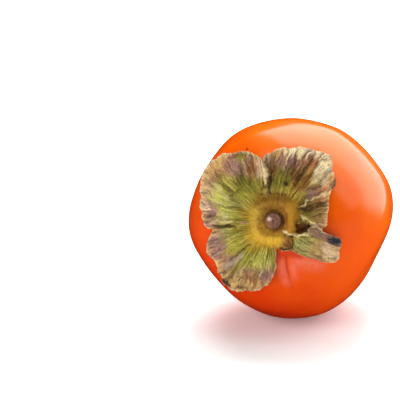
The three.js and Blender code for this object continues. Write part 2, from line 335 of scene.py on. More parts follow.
def on_map(place):
    angle, radius = place
    return radius * np.array([math.cos(math.radians(angle)), math.sin(math.radians(angle))])


def smooth_line(places, count):
    """Evenly spaced points on a smooth curve through places of the flat map."""
    points = np.array([on_map(place) for place in places])
    points = np.vstack([2 * points[0] - points[1], points, 2 * points[-1] - points[-2]])
    line = []
    for i in range(1, len(points) - 2):
        four = points[i - 1 : i + 3]
        knots = np.concatenate([[0.0], np.cumsum(np.linalg.norm(np.diff(four, axis=0), axis=1) ** 0.5)])
        t = np.linspace(knots[1], knots[2], 40)[:, None]

        def between(a, b, low, high):
            return (a * (high - t) + b * (t - low)) / (high - low)

        first = [between(four[k], four[k + 1], knots[k], knots[k + 1]) for k in range(3)]
        second = [between(first[k], first[k + 1], knots[k], knots[k + 2]) for k in range(2)]
        line.append(between(second[0], second[1], knots[1], knots[2])[:-1])
    line = np.vstack(line + [points[-2][None]])
    run = np.concatenate([[0.0], np.cumsum(np.linalg.norm(np.diff(line, axis=0), axis=1))])
    even = np.linspace(0, run[-1], count)
    return np.stack([np.interp(even, run, line[:, k]) for k in range(2)], axis=-1), even


def stand_off(lobe, place, reach):
    """Height of a lobe's underside over its clearance, as in the solid."""
    rise = ARCH * smooth(reach, 0.05, 0.4) * (1 - 0.8 * smooth(reach, 0.6, 1))
    for start, end, width, height in lobe.relief:
        a, b = on_map(start), on_map(end)
        span = b - a
        length = max(span @ span, 1e-9)
        along = np.clip((place - a) @ span / length, 0, 1)
        distance = np.linalg.norm(place - a - along[..., None] * span, axis=-1)
        rise = rise + height * bell(distance / width)
    free = smooth(np.linalg.norm(place, axis=-1), ROOT_RADIUS, ROOT_RADIUS + 3)
    return lobe.lift + np.maximum(rise, -lobe.lift) * free, free


def add_object(name, data):
    made = bpy.data.objects.new(name, data)
    bpy.context.scene.collection.objects.link(made)
    return made


def make_object(name, points, faces, values=None):
    """A smoothly shaded mesh of points given along the fruit's axis, with values kept for each."""
    mesh = bpy.data.meshes.new(name)
    mesh.from_pydata(laid_down(points).tolist(), [], faces)
    mesh.update()
    for face in mesh.polygons:
        face.use_smooth = True
    for key, value in (values or {}).items():
        mesh.attributes.new(key, "FLOAT", "POINT").data.foreach_set("value", value.astype(np.float32))
    return add_object(name, mesh)


def grid_faces(rows, columns, first, wrapped=False, flipped=False):
    """Quads over rows of points numbered from first on. Flipped ones face the other way."""
    faces = []
    last = columns if wrapped else columns - 1
    for row in range(rows - 1):
        for column in range(last):
            a = first + row * columns + column
            b = first + (row + 1) * columns + column
            c = first + (row + 1) * columns + (column + 1) % columns
            d = first + row * columns + (column + 1) % columns
            faces.append((a, d, c, b) if flipped else (a, b, c, d))
    return faces


def sheet_faces(rows, columns):
    """A closed sheet from the points of its upper side and then those of its underside."""
    count = rows * columns
    faces = grid_faces(rows, columns, 0) + grid_faces(rows, columns, count, flipped=True)
    edge = [row * columns for row in range(rows)]
    edge += [(rows - 1) * columns + column for column in range(1, columns)]
    edge += [row * columns + columns - 1 for row in range(rows - 2, -1, -1)]
    edge += list(range(columns - 2, 0, -1))
    for here, following in zip(edge, edge[1:] + edge[:1]):
        faces.append((here, count + here, count + following, following))
    return faces


def ringed(rings, top, bottom):
    """A closed surface from rings of points between two poles, from the top down."""
    columns = len(rings[0])
    points = np.vstack([top[None], np.vstack(rings), bottom[None]])
    faces = grid_faces(len(rings), columns, 1, wrapped=True)
    foot = 1 + (len(rings) - 1) * columns
    for column in range(columns):
        following = (column + 1) % columns
        faces.append((0, 1 + column, 1 + following))
        faces.append((len(points) - 1, foot + following, foot + column))
    return points, faces


def turned(profile, sides, shift=0.0):
    """A closed round form from its (radius, height) profile, from the top down."""
    angle = np.linspace(0, 360, sides, endpoint=False)
    rings = [on_axis(np.full(sides, radius), angle, height + shift) for radius, height in profile[1:-1]]
    top = np.array([0.0, 0.0, profile[0][1] + shift])
    bottom = np.array([0.0, 0.0, profile[-1][1] + shift])
    return ringed(rings, top, bottom)


# Helpers for the materials
def linear(red, green, blue):
    """A colour read as 0 to 255 screen values, as linear light."""
    def one(value):
        share = value / 255.0
        return share / 12.92 if share <= 0.04045 else ((share + 0.055) / 1.055) ** 2.4

    return (one(red), one(green), one(blue), 1.0)


def put(tree, kind, inputs=None, **settings):
    """Adds a node, with its settings, and its inputs linked or set."""
    made = tree.nodes.new(kind)
    for key, value in settings.items():
        setattr(made, key, value)
    for key, value in (inputs or {}).items():
        socket = made.inputs[key]
        if isinstance(value, bpy.types.NodeSocket):
            tree.links.new(value, socket)
        else:
            socket.default_value = value
    return made


def math_node(tree, operation, a, b=0.0, c=0.0, clamp=False):
    return put(tree, "ShaderNodeMath", {0: a, 1: b, 2: c}, operation=operation, use_clamp=clamp).outputs[0]


def times(tree, a, b):
    return math_node(tree, "MULTIPLY", a, b)


def vector_node(tree, operation, a, b=None, scale=None, output="Vector"):
    given = {key: value for key, value in ((0, a), (1, b), ("Scale", scale)) if value is not None}
    return put(tree, "ShaderNodeVectorMath", given, operation=operation).outputs[output]


def mixed(tree, share, a, b, mode="MIX"):
    made = put(tree, "ShaderNodeMix", {0: share, 6: a, 7: b}, data_type="RGBA", blend_type=mode)
    return made.outputs[2]


def tinted(tree, colour, mask, strength, paint):
    """The colour, painted over where the mask is, as far as the strength says."""
    return mixed(tree, times(tree, mask, strength), colour, paint)


def shaded(tree, colour, shade, share):
    grey = put(tree, "ShaderNodeCombineColor", {0: shade, 1: shade, 2: shade}).outputs[0]
    return mixed(tree, share, colour, grey, "MULTIPLY")


def stepped(tree, value, low, high, start=0.0, end=1.0):
    ends = {"From Min": low, "From Max": high, "To Min": start, "To Max": end}
    made = put(tree, "ShaderNodeMapRange", {"Value": value, **ends}, interpolation_type="SMOOTHSTEP")
    return made.outputs["Result"]


def soft_edge(tree, share, softness):
    """1 at a small share and 0 at a large one, with a soft step at 1."""
    low = math_node(tree, "SUBTRACT", 1.0, softness)
    high = math_node(tree, "ADD", 1.0, softness)
    return stepped(tree, share, low, high, 1.0, 0.0)


def noise(tree, vector, scale, detail=3.0, roughness=0.5, output="Fac"):
    inputs = {"Vector": vector, "Scale": scale, "Detail": detail, "Roughness": roughness}
    return put(tree, "ShaderNodeTexNoise", inputs).outputs[output]


def attribute(tree, name):
    made = put(tree, "ShaderNodeAttribute", attribute_type="GEOMETRY", attribute_name=name)
    return made.outputs["Fac"]


def axis_place(tree):
    """Places along the fruit's own axis, in millimetres."""
    found = put(tree, "ShaderNodeTexCoord").outputs["Object"]
    moved = vector_node(tree, "ADD", found, tuple(RESTING / 1000.0))
    levelled = put(
        tree,
        "ShaderNodeMapping",
        {"Vector": moved, "Rotation": (math.radians(AXIS_TILT - 90), 0.0, 0.0), "Scale": (1000.0,) * 3},
        vector_type="POINT",
    )
    return levelled.outputs[0]


def flat_place(tree, place):
    """The place seen down the axis, and its distance from the axis."""
    flat = vector_node(tree, "MULTIPLY", place, (1.0, 1.0, 0.0))
    return flat, vector_node(tree, "LENGTH", flat, output="Value")


def pushed(tree, place, flat, reach, scale, detail, roughness):
    """A flat place pushed about by soft noise, by up to about half the reach."""
    way = vector_node(tree, "SUBTRACT", noise(tree, flat, scale, detail, roughness, "Color"), (0.5,) * 3)
    way = vector_node(tree, "SCALE", way, scale=reach)
    return flat_place(tree, vector_node(tree, "ADD", place, way))[0]


def new_group(name, places, numbers, output):
    """A node group that takes places and numbers, and gives one number."""
    group = bpy.data.node_groups.new(name, "ShaderNodeTree")
    for names, kind in ((places, "NodeSocketVector"), (numbers, "NodeSocketFloat")):
        for socket in names:
            group.interface.new_socket(socket, in_out="INPUT", socket_type=kind)
    group.interface.new_socket(output, in_out="OUTPUT", socket_type="NodeSocketFloat")
    given = group.nodes.new("NodeGroupInput").outputs
    return group, given, group.nodes.new("NodeGroupOutput").inputs[output]


def make_patch_group():
    """A soft round patch: 1 at its centre, 0 past its radius."""
    group, given, mask = new_group("soft patch", ["Place", "Centre"], ["Radius", "Softness"], "Mask")
    distance = vector_node(group, "DISTANCE", given["Place"], given["Centre"], output="Value")
    share = math_node(group, "DIVIDE", distance, given["Radius"])
    group.links.new(soft_edge(group, share, given["Softness"]), mask)
    return group


def make_stroke_group():
    """A soft straight stroke: 1 along its middle, 0 past its half width."""
    group, given, mask = new_group("soft stroke", ["Place", "Start", "End"], ["Width", "Softness"], "Mask")
    run = vector_node(group, "SUBTRACT", given["End"], given["Start"])
    away = vector_node(group, "SUBTRACT", given["Place"], given["Start"])
    part = vector_node(group, "DOT_PRODUCT", away, run, output="Value")
    whole = vector_node(group, "DOT_PRODUCT", run, run, output="Value")
    share = math_node(group, "DIVIDE", part, whole, clamp=True)
    along = vector_node(group, "SCALE", run, scale=share)
    distance = vector_node(group, "DISTANCE", away, along, output="Value")
    share = math_node(group, "DIVIDE", distance, given["Width"])
    group.links.new(soft_edge(group, share, given["Softness"]), mask)
    return group


def make_speck_group():
    """Scattered small dots, in some of the cells of a pattern."""
    group, given, mask = new_group("specks", ["Place"], ["Spacing", "Size", "Share"], "Mask")
    scale = math_node(group, "DIVIDE", 1.0, given["Spacing"])
    cells = put(group, "ShaderNodeTexVoronoi", {"Vector": given["Place"], "Scale": scale}).outputs
    core = times(group, given["Size"], 0.5)
    dot = stepped(group, cells["Distance"], core, given["Size"], 1.0, 0.0)
    kind = put(group, "ShaderNodeSeparateColor", {0: cells["Color"]}).outputs[0]
    kept = math_node(group, "LESS_THAN", kind, given["Share"])
    group.links.new(times(group, dot, kept), mask)
    return group


def make_fibre_group():
    """The height of fine lines that run out from the axis and bend a little."""
    group, given, height = new_group("radial fibres", ["Place"], ["Count", "Length", "Wobble"], "Height")
    flat, radius = flat_place(group, given["Place"])
    way = vector_node(group, "NORMALIZE", flat)
    bend = math_node(group, "SUBTRACT", noise(group, given["Place"], 0.22, 2.0), 0.5)
    bend = times(group, bend, given["Wobble"])
    side = put(group, "ShaderNodeVectorRotate", {"Vector": way, "Angle": bend}, rotation_type="Z_AXIS")
    spread = vector_node(group, "SCALE", side.outputs[0], scale=given["Count"])
    out = math_node(group, "DIVIDE", radius, given["Length"])
    shift = put(group, "ShaderNodeCombineXYZ", {"Z": out}).outputs[0]
    placed = vector_node(group, "ADD", spread, shift)
    group.links.new(noise(group, placed, 1.0, 3.0, 0.62), height)
    return group


PATCH = make_patch_group()
STROKE = make_stroke_group()
SPECKS = make_speck_group()
FIBRES = make_fibre_group()


def use(tree, group, **inputs):
    return put(tree, "ShaderNodeGroup", inputs, node_tree=group).outputs[0]


def patched(tree, place, x, y, radius, softness):
    return use(tree, PATCH, Place=place, Centre=(x, y, 0.0), Radius=radius, Softness=softness)


def brushed(tree, place, path, width, softness):
    """A stroke along a path of places."""
    mask = 0.0
    for start, end in zip(path[:-1], path[1:]):
        ends = {"Start": (*start, 0.0), "End": (*end, 0.0)}
        part = use(tree, STROKE, Place=place, Width=width, Softness=softness, **ends)
        mask = math_node(tree, "MAXIMUM", mask, part)
    return mask


def new_material(name):
    made = bpy.data.materials.new(name)
    made.use_nodes = True
    made.node_tree.nodes.clear()
    return made, made.node_tree


def finish_material(tree, colour, roughness, height, depth, strength=1.0, **settings):
    bump = put(tree, "ShaderNodeBump", {"Height": height, "Distance": depth, "Strength": strength})
    inputs = {"Base Color": colour, "Roughness": roughness, "Normal": bump.outputs[0], **settings}
    shader = put(tree, "ShaderNodeBsdfPrincipled", inputs)
    put(tree, "ShaderNodeOutputMaterial", {"Surface": shader.outputs[0]})


# The camera and the lights
CAMERA_AZIMUTH = math.radians(9.76)
CAMERA_ELEVATION = math.radians(15.57)
CAMERA_DISTANCE = 0.70
SENSOR_WIDTH = 36.0
FOCAL_PIXELS = 1987.0
PICTURE_SIDE = 400.0
FRUIT_CENTRE_PIXEL = (291.0, 216.4)

middle = Vector(laid_down(np.array([[0.0, 0.0, 0.0]]))[0])
level_way = Vector((math.sin(CAMERA_AZIMUTH), -math.cos(CAMERA_AZIMUTH), 0.0))
towards_camera = level_way * math.cos(CAMERA_ELEVATION) + Vector((0.0, 0.0, math.sin(CAMERA_ELEVATION)))
to_the_right = Vector((math.cos(CAMERA_AZIMUTH), math.sin(CAMERA_AZIMUTH), 0.0))
upwards = towards_camera.cross(to_the_right)


def facing(right, up, back):
    return Matrix((right, up, back)).transposed().to_quaternion()


def make_camera():
    data = bpy.data.cameras.new("camera")
    data.sensor_fit = "HORIZONTAL"
    data.sensor_width = SENSOR_WIDTH
    data.lens = SENSOR_WIDTH * FOCAL_PIXELS / PICTURE_SIDE
    camera = add_object("camera", data)
    right = (FRUIT_CENTRE_PIXEL[0] - PICTURE_SIDE / 2) / FOCAL_PIXELS
    up = (PICTURE_SIDE / 2 - FRUIT_CENTRE_PIXEL[1]) / FOCAL_PIXELS
    aside = Vector((right, up, -1.0)).normalized().rotation_difference(Vector((0.0, 0.0, -1.0)))
    camera.rotation_mode = "QUATERNION"
    camera.rotation_quaternion = facing(to_the_right, upwards, towards_camera) @ aside
    camera.location = middle + towards_camera * CAMERA_DISTANCE
    bpy.context.scene.camera = camera


def make_light(name, around, off, distance, size, power, shiny=True):
    """A soft panel seen from the fruit at an angle round the picture and an angle off the view."""
    data = bpy.data.lights.new(name, "AREA")
    data.shape = "RECTANGLE"
    data.size, data.size_y = size
    data.energy = power
    light = add_object(name, data)
    light.visible_glossy = shiny
    turn, lean = math.radians(around), math.radians(off)
    sideways = to_the_right * math.cos(turn) + upwards * math.sin(turn)
    out = towards_camera * math.cos(lean) + sideways * math.sin(lean)
    long_way = -to_the_right * math.sin(turn) + upwards * math.cos(turn)
    light.rotation_mode = "QUATERNION"
    light.rotation_quaternion = facing(long_way, out.cross(long_way), out)
    light.location = middle + out * distance
    return light


def fade(light, low_end, high_end, inner_edge):
    """Fades a panel's light over shares of it at its two ends and its inner edge."""
    light.data.use_nodes = True
    tree = light.data.node_tree
    tree.nodes.clear()
    across = put(tree, "ShaderNodeNewGeometry").outputs["Parametric"]
    parts = put(tree, "ShaderNodeSeparateXYZ", {0: across})
    low = stepped(tree, parts.outputs[0], 0.0, low_end)
    high = stepped(tree, parts.outputs[0], 1.0 - high_end, 1.0, 1.0, 0.0)
    inside = stepped(tree, parts.outputs[1], 1.0 - inner_edge, 1.0, 1.0, 0.0)
    glow = put(tree, "ShaderNodeEmission", {"Strength": times(tree, times(tree, low, high), inside)})
    put(tree, "ShaderNodeOutputLight", {"Surface": glow.outputs[0]})


make_camera()
sky = make_light("sky panel", around=50, off=110, distance=0.62, size=(1.74, 0.84), power=10.6)
inner = make_light("inner panel", around=61, off=62, distance=0.75, size=(2.1, 0.5), power=3.2)
make_light("front fill", around=158, off=44, distance=0.9, size=(0.5, 0.5), power=3.0, shiny=False)
make_light("glow from above", around=92, off=112, distance=0.75, size=(0.6, 0.6), power=7.0, shiny=False)
fade(sky, low_end=0.22, high_end=0.12, inner_edge=0.3)
fade(inner, low_end=0.12, high_end=0.02, inner_edge=0.4)

# The fruit
SKIN_BELOW = linear(221, 59, 0)
SKIN_MIDDLE = linear(230, 84, 0)
SKIN_ABOVE = linear(248, 114, 4)
SKIN_MOTTLE = linear(232, 64, 0)
SKIN_FLECK = linear(255, 140, 30)
SKIN_DOT = linear(90, 24, 8)
GROOVE_SHADE_RED = linear(176, 26, 4)
HIGHLIGHT_PINK = linear(244, 142, 120)
SHADOW_RED = linear(190, 20, 0)
TIP_BROWN = linear(104, 40, 10)
MARK_BROWN = linear(110, 20, 6)
GROOVE = [(4.3, -12.0), (4.7, -16.3), (5.8, -21.2), (6.6, -25.6)]
# Painted pink highlights beside the groove: (path, half width, strength)
GROOVE_HIGHLIGHTS = [
    ([(2.2, -13.0), (2.9, -17.0), (4.3, -20.5)], 1.2, 0.42),
    ([(6.4, -15.6), (7.2, -19.0)], 0.9, 0.32),
    ([(8.4, -13.6), (14.2, -13.8)], 1.9, 0.44),
]
# Painted shadow: deeper red close under the calyx's edge, in the same way
CALYX_SHADOW = ([(2.2, -11.8), (5.0, -11.0), (8.8, -11.4)], 1.1, 0.55)
# A small dark mark beyond the calyx's upper left rim
DARK_MARK = (-11.95, 23.4)
# How fast the skin turns yellower along the frame's axes, for each metre: partly its own riper colour and
# partly painted light, yellower towards the lit upper right and redder on the shaded lower side
RIPE_AND_LIGHT_WAY = (8.5, 2.0, 14.0)
SKIN_SHINE = {
    "Specular IOR Level": 0.62,
    "Subsurface Weight": 0.1,
    "Subsurface Radius": (0.004, 0.0012, 0.0005),
    "Subsurface Scale": 1.0,
}


def line_distance(place, path):
    best = np.full(len(place), 1e9)
    for start, end in zip(path[:-1], path[1:]):
        a, b = np.array(start), np.array(end)
        along = np.clip((place - a) @ (b - a) / ((b - a) @ (b - a)), 0, 1)
        best = np.minimum(best, np.linalg.norm(place - a - along[:, None] * (b - a), axis=1))
    return best


def make_fruit():
    fall = 180 * (np.arange(1, FRUIT_ROWS) / FRUIT_ROWS) ** FALL_SPREAD
    angle = np.linspace(0, 360, FRUIT_COLUMNS, endpoint=False)
    falls, angles = np.meshgrid(fall, angle, indexing="ij")
    skin = skin_at_fall(falls, angles)
    step = 0.2
    downwards = skin_at_fall(falls + step, angles) - skin_at_fall(falls - step, angles)
    square = square_to(downwards, angles)
    flat = skin.reshape(-1, 3)
    swell = SKIN_SWELL * ripples(flat, SKIN_SWELL_LENGTH, SWELL_SEED)
    away = np.where(flat[:, 2] > 0, line_distance(flat[:, :2], GROOVE), np.inf)
    groove = GROOVE_DEPTH * bell(away / GROOVE_HALF_WIDTH)
    banks = BANK_HEIGHT * bell(away / BANK_HALF_WIDTH)
    ends = smooth(falls.reshape(-1), 4, 14) * smooth(180 - falls.reshape(-1), 2, 10)
    height = (swell - SKIN_SWELL) * ends - groove + banks
    skin = (flat + square.reshape(-1, 3) * height[:, None]).reshape(skin.shape)
    poles = [skin_at_fall(np.array(fall), np.array(0.0)) for fall in (0.0, 180.0)]
    points, faces = ringed(list(skin), *poles)
    made = make_object("persimmon_fruit", points, faces)
    for vertex in made.data.vertices:
        vertex.co.z = max(vertex.co.z, 0.0)
    made.data.materials.append(make_skin())
    return made


def make_skin():
    """Satin orange skin: yellower above and redder below, partly its own colour and partly painted light,
    with faint flecks, dots, the groove's line in painted shade, painted highlights beside the groove and a
    painted shadow under the calyx.
    """
    made, tree = new_material("persimmon skin")
    place = axis_place(tree)
    level = put(tree, "ShaderNodeTexCoord").outputs["Object"]
    ripeness_and_light = vector_node(tree, "DOT_PRODUCT", level, RIPE_AND_LIGHT_WAY, output="Value")
    cloudy = noise(tree, place, 0.06, 3.0)
    mottled = noise(tree, place, 0.55, 4.0, 0.6)
    # Yellower towards the lit upper right and redder below: partly the skin's own colour, partly painted
    # light
    lit = math_node(tree, "MULTIPLY_ADD", cloudy, 0.5, math_node(tree, "SUBTRACT", ripeness_and_light, 0.4))
    colour = mixed(tree, stepped(tree, lit, -0.1, 0.3), SKIN_BELOW, SKIN_MIDDLE)
    colour = mixed(tree, stepped(tree, lit, 0.42, 0.92), colour, SKIN_ABOVE)
    colour = tinted(tree, colour, mottled, 0.12, SKIN_MOTTLE)
    flecks = use(tree, SPECKS, Place=place, Spacing=1.6, Size=0.12, Share=0.5)
    colour = tinted(tree, colour, flecks, 0.2, SKIN_FLECK)
    dots = use(tree, SPECKS, Place=place, Spacing=9.0, Size=0.045, Share=0.35)
    colour = tinted(tree, colour, dots, 0.7, SKIN_DOT)
    parts = put(tree, "ShaderNodeSeparateXYZ", {0: place}).outputs
    front = math_node(tree, "GREATER_THAN", parts["Z"], 0.0)
    flat, radius = flat_place(tree, place)
    line = brushed(tree, flat, GROOVE, 0.36, 0.8)
    fading = stepped(tree, parts["Y"], -25.5, -17.0)
    line = times(tree, line, times(tree, front, fading))
    # The groove's darker red line is painted shade in the crease
    colour = tinted(tree, colour, line, 0.65, GROOVE_SHADE_RED)
    # Painted highlights beside the groove, broken into streaks
    for path, width, strength in GROOVE_HIGHLIGHTS:
        mask = times(tree, brushed(tree, flat, path, width, 1.5), front)
        streaks = stepped(tree, mottled, 0.3, 0.6, 0.5, 1.0)
        colour = tinted(tree, colour, mask, times(tree, streaks, strength), HIGHLIGHT_PINK)
    # Painted shadow of the calyx on the skin
    path, width, strength = CALYX_SHADOW
    mask = times(tree, brushed(tree, flat, path, width, 0.9), front)
    colour = tinted(tree, colour, mask, strength, SHADOW_RED)
    behind = math_node(tree, "SUBTRACT", 1.0, front)
    tip = times(tree, stepped(tree, radius, 1.4, 4.2, 1.0, 0.0), behind)
    colour = tinted(tree, colour, tip, stepped(tree, mottled, 0.3, 0.6, 0.6, 0.95), TIP_BROWN)
    mark = times(tree, patched(tree, flat, *DARK_MARK, 0.45, 0.6), front)
    colour = tinted(tree, colour, mark, 0.8, MARK_BROWN)
    relief = math_node(tree, "MULTIPLY_ADD", line, -0.7, times(tree, mottled, 0.08))
    roughness = math_node(tree, "MULTIPLY_ADD", mottled, 0.08, 0.13)
    finish_material(tree, colour, roughness, relief, 0.0003, 0.5, **SKIN_SHINE)
    return made


# The calyx
OCHRE = linear(168, 124, 34)
DEEP_OCHRE = linear(156, 108, 40)
OLIVE = linear(124, 116, 36)
GREEN = linear(168, 158, 60)
PALE_GREEN = linear(192, 186, 88)
TAN = linear(188, 146, 88)
PALE_TAN = linear(217, 187, 146)
CREAM = linear(224, 204, 156)
PURPLE = linear(156, 113, 100)
BROWN = linear(134, 88, 38)
DARK_BROWN = linear(78, 44, 20)
RUST = linear(200, 132, 74)
RED_BROWN = linear(160, 104, 64)
LILAC = linear(174, 156, 138)
BLUE_BLACK = linear(30, 32, 50)
BLACK = linear(26, 18, 16)
SAGE = linear(172, 162, 92)
CURL_SHADOW_BROWN = linear(96, 24, 14)
LOBE_GREEN = linear(162, 150, 58)
LOBE_PURPLE = linear(150, 112, 84)
PALE_STRAW = linear(236, 216, 140)
FOLD_BROWN = linear(66, 38, 18)
EDGE_PALE_AND_HIGHLIGHT = linear(238, 218, 158)
# Patches of colour on the calyx: (x, y, radius, softness, strength, colour)
PATCHES = [
    (-14.9, 12.4, 5.4, 0.6, 0.9, linear(182, 168, 74)),
    (-9.8, 12.4, 4.2, 0.6, 0.9, OLIVE),
    (-20.2, 7.4, 3.2, 0.6, 0.95, PALE_GREEN),
    (-17.4, 3.4, 3.8, 0.6, 0.85, PALE_GREEN),
    (-12.8, 5.6, 2.2, 0.8, 0.6, linear(120, 124, 84)),
    (-10.3, 6.9, 3.2, 0.7, 0.8, GREEN),
    (-15.8, 17.8, 3.4, 0.6, 0.95, PURPLE),
    (-12.2, 16.6, 2.6, 0.6, 0.85, PURPLE),
    (-20.4, 16.4, 3.2, 0.6, 0.7, RED_BROWN),
    (-7.8, 16.9, 2.8, 0.6, 0.8, RED_BROWN),
    (-13.3, 21.3, 2.4, 0.6, 0.8, OLIVE),
    (-26.2, 8.0, 3.4, 0.6, 0.8, linear(205, 164, 124)),
    (-23.2, 18.6, 3.6, 0.6, 0.85, linear(190, 146, 88)),
    (-22.4, 2.4, 2.6, 0.6, 0.9, PURPLE),
    (-26.0, 3.2, 1.8, 0.6, 0.9, PALE_TAN),
    (-22.6, -1.0, 2.4, 0.6, 0.8, PURPLE),
    (-4.0, 15.4, 2.2, 0.5, 0.95, PALE_TAN),
    (-5.0, 19.4, 2.2, 0.5, 0.8, PALE_TAN),
    (-17.0, -0.8, 2.4, 0.7, 0.6, SAGE),
    (-0.6, 22.4, 2.8, 0.5, 0.9, TAN),
    # Cream along the upper right lobe's top rim: partly its pale dry colour, partly painted highlight
    (4.6, 23.4, 2.6, 0.5, 0.95, CREAM),
    (9.7, 23.4, 2.8, 0.5, 0.95, CREAM),
    (14.6, 22.6, 2.6, 0.5, 0.9, CREAM),
    (5.0, 19.6, 2.6, 0.6, 0.95, PURPLE),
    (1.3, 18.2, 2.4, 0.6, 0.8, PURPLE),
    (9.4, 19.6, 2.2, 0.6, 0.7, RED_BROWN),
    (1.7, 14.4, 3.4, 0.6, 0.9, OLIVE),
    (-1.4, 16.8, 1.8, 0.6, 0.8, BROWN),
    (7.0, 15.4, 2.8, 0.5, 0.85, linear(110, 66, 34)),
    (9.8, 12.9, 2.8, 0.6, 0.9, BROWN),
    (6.7, 11.4, 1.8, 0.6, 0.8, OCHRE),
    # Cream at the curled corner: partly its pale dry colour, partly painted highlight
    (16.2, 17.6, 2.4, 0.5, 0.95, CREAM),
    (14.4, 14.8, 1.9, 0.5, 0.8, PALE_TAN),
    (15.4, 9.4, 3.0, 0.6, 0.8, RED_BROWN),
    (12.4, 9.4, 2.2, 0.6, 0.9, PURPLE),
    (10.8, 5.4, 2.8, 0.6, 0.9, DARK_BROWN),
    (14.6, 6.0, 2.2, 0.6, 0.8, BROWN),
    (14.5, 2.6, 2.6, 0.6, 0.8, linear(150, 112, 52)),
    (16.0, 13.2, 1.7, 0.5, 0.8, PALE_TAN),
    (17.6, 12.2, 0.9, 0.5, 0.8, linear(206, 96, 70)),
    (-12.1, -8.4, 4.0, 0.6, 0.85, GREEN),
    (-17.4, -5.6, 2.6, 0.6, 0.7, SAGE),
    (-20.8, -8.6, 3.2, 0.5, 0.95, PURPLE),
    (-20.4, -12.0, 2.6, 0.5, 0.85, PURPLE),
    (-6.7, -12.4, 3.8, 0.6, 0.9, GREEN),
    (-3.2, -14.2, 3.2, 0.6, 0.9, PALE_GREEN),
    (-16.4, -20.6, 3.0, 0.5, 0.85, linear(168, 134, 80)),
    (-11.6, -22.6, 3.2, 0.5, 0.85, linear(172, 136, 82)),
    (-7.0, -21.4, 2.4, 0.6, 0.8, RED_BROWN),
    (-2.4, -18.6, 2.8, 0.6, 0.9, PURPLE),
    (-17.9, -23.0, 1.3, 0.4, 0.95, BLACK),
    (-11.4, -20.8, 0.6, 0.5, 0.95, BLACK),
    (-7.4, -14.9, 0.45, 0.5, 0.95, BLACK),
    (3.8, 12.8, 0.95, 0.6, 0.95, linear(46, 34, 22)),
    (11.2, -7.4, 3.6, 0.5, 0.95, SAGE),
    (15.4, -9.0, 3.0, 0.5, 0.7, TAN),
    (19.3, -9.8, 2.4, 0.5, 0.8, PALE_TAN),
    (19.6, -11.6, 0.9, 0.5, 0.9, DARK_BROWN),
    (15.2, -2.4, 2.2, 0.4, 0.9, PURPLE),
    (4.7, -7.9, 2.0, 0.4, 0.95, BROWN),
]
# Soft strokes of colour round the hub: (path of (x, y) places, half width, softness, strength, colour). Some
# are painted light and painted shade of the hub's bowl, lit from above.
HUB_STROKES = [
    ([(-6.4, 3.0), (-6.8, -3.4)], 2.8, 0.9, 0.85, linear(200, 166, 60)),
    # Painted shade: the darker upper side of the hub's bowl
    ([(-5.7, 5.8), (-3.1, 7.0), (1.5, 7.8), (5.2, 7.0)], 1.6, 0.9, 0.9, linear(126, 90, 24)),
    ([(5.6, 5.4), (6.5, 2.1), (6.3, -2.2)], 1.4, 0.9, 0.8, linear(190, 134, 34)),
    # Painted light: the brighter yellow lower side of the bowl, in this stroke and the next
    ([(-6.2, -7.0), (-3.3, -6.4), (0.3, -6.2)], 2.8, 0.9, 0.9, linear(222, 178, 52)),
    ([(0.3, -6.4), (2.6, -6.4)], 1.7, 0.9, 0.7, linear(222, 178, 52)),
    # Painted shade in the valley above the stub
    ([(-4.6, 3.4), (-0.1, 4.9), (3.3, 4.3)], 0.8, 0.9, 0.8, linear(126, 88, 24)),
    ([(4.2, 2.4), (4.5, -1.8)], 0.4, 0.8, 0.75, linear(140, 72, 24)),
    # Painted light: yellow over the socket's lower side, below the stub
    ([(-3.9, -1.8), (-2.4, -4.4), (1.2, -4.7)], 1.1, 0.9, 0.8, linear(206, 154, 54)),
    ([(-0.4, -3.6), (2.2, -3.1)], 0.55, 0.8, 0.8, linear(190, 110, 52)),
]
# Broad strokes of colour on the lobes, in the same way
STROKES = [
    # Painted shadow beside the upper left lobe's curled margin
    ([(-4.0, 10.2), (-3.6, 12.4)], 0.5, 0.7, 0.95, CURL_SHADOW_BROWN),
    ([(10.6, 16.6), (12.8, 20.4)], 0.7, 0.7, 0.9, RUST),
    ([(-10.8, -12.2), (-13.6, -14.5), (-17.2, -17.0)], 0.9, 0.9, 0.75, LILAC),
    ([(8.8, 0.3), (12.2, 0.2)], 0.7, 0.8, 0.9, linear(156, 114, 56)),
    # Painted shade: the dark recess between the upper and lower right lobes, over their brown tissue, in this
    # stroke and the next
    ([(8.4, -1.6), (11.6, -1.5)], 1.0, 0.25, 1.0, linear(104, 60, 18)),
    ([(8.5, -3.0), (11.2, -2.8)], 0.9, 0.25, 1.0, linear(82, 42, 12)),
    ([(4.9, -6.6), (5.4, -8.0)], 1.1, 0.8, 0.8, RED_BROWN),
    ([(19.8, -5.4), (21.3, -6.3)], 1.6, 0.5, 0.99, BLUE_BLACK),
    ([(20.3, -5.8), (21.1, -6.2)], 0.9, 0.7, 1.0, linear(34, 36, 52)),
    ([(-18.4, -21.6), (-16.6, -23.4)], 0.8, 0.5, 0.95, BLACK),
    ([(-17.4, 20.3), (-15.0, 21.3)], 0.8, 0.6, 0.9, linear(104, 58, 24)),
]
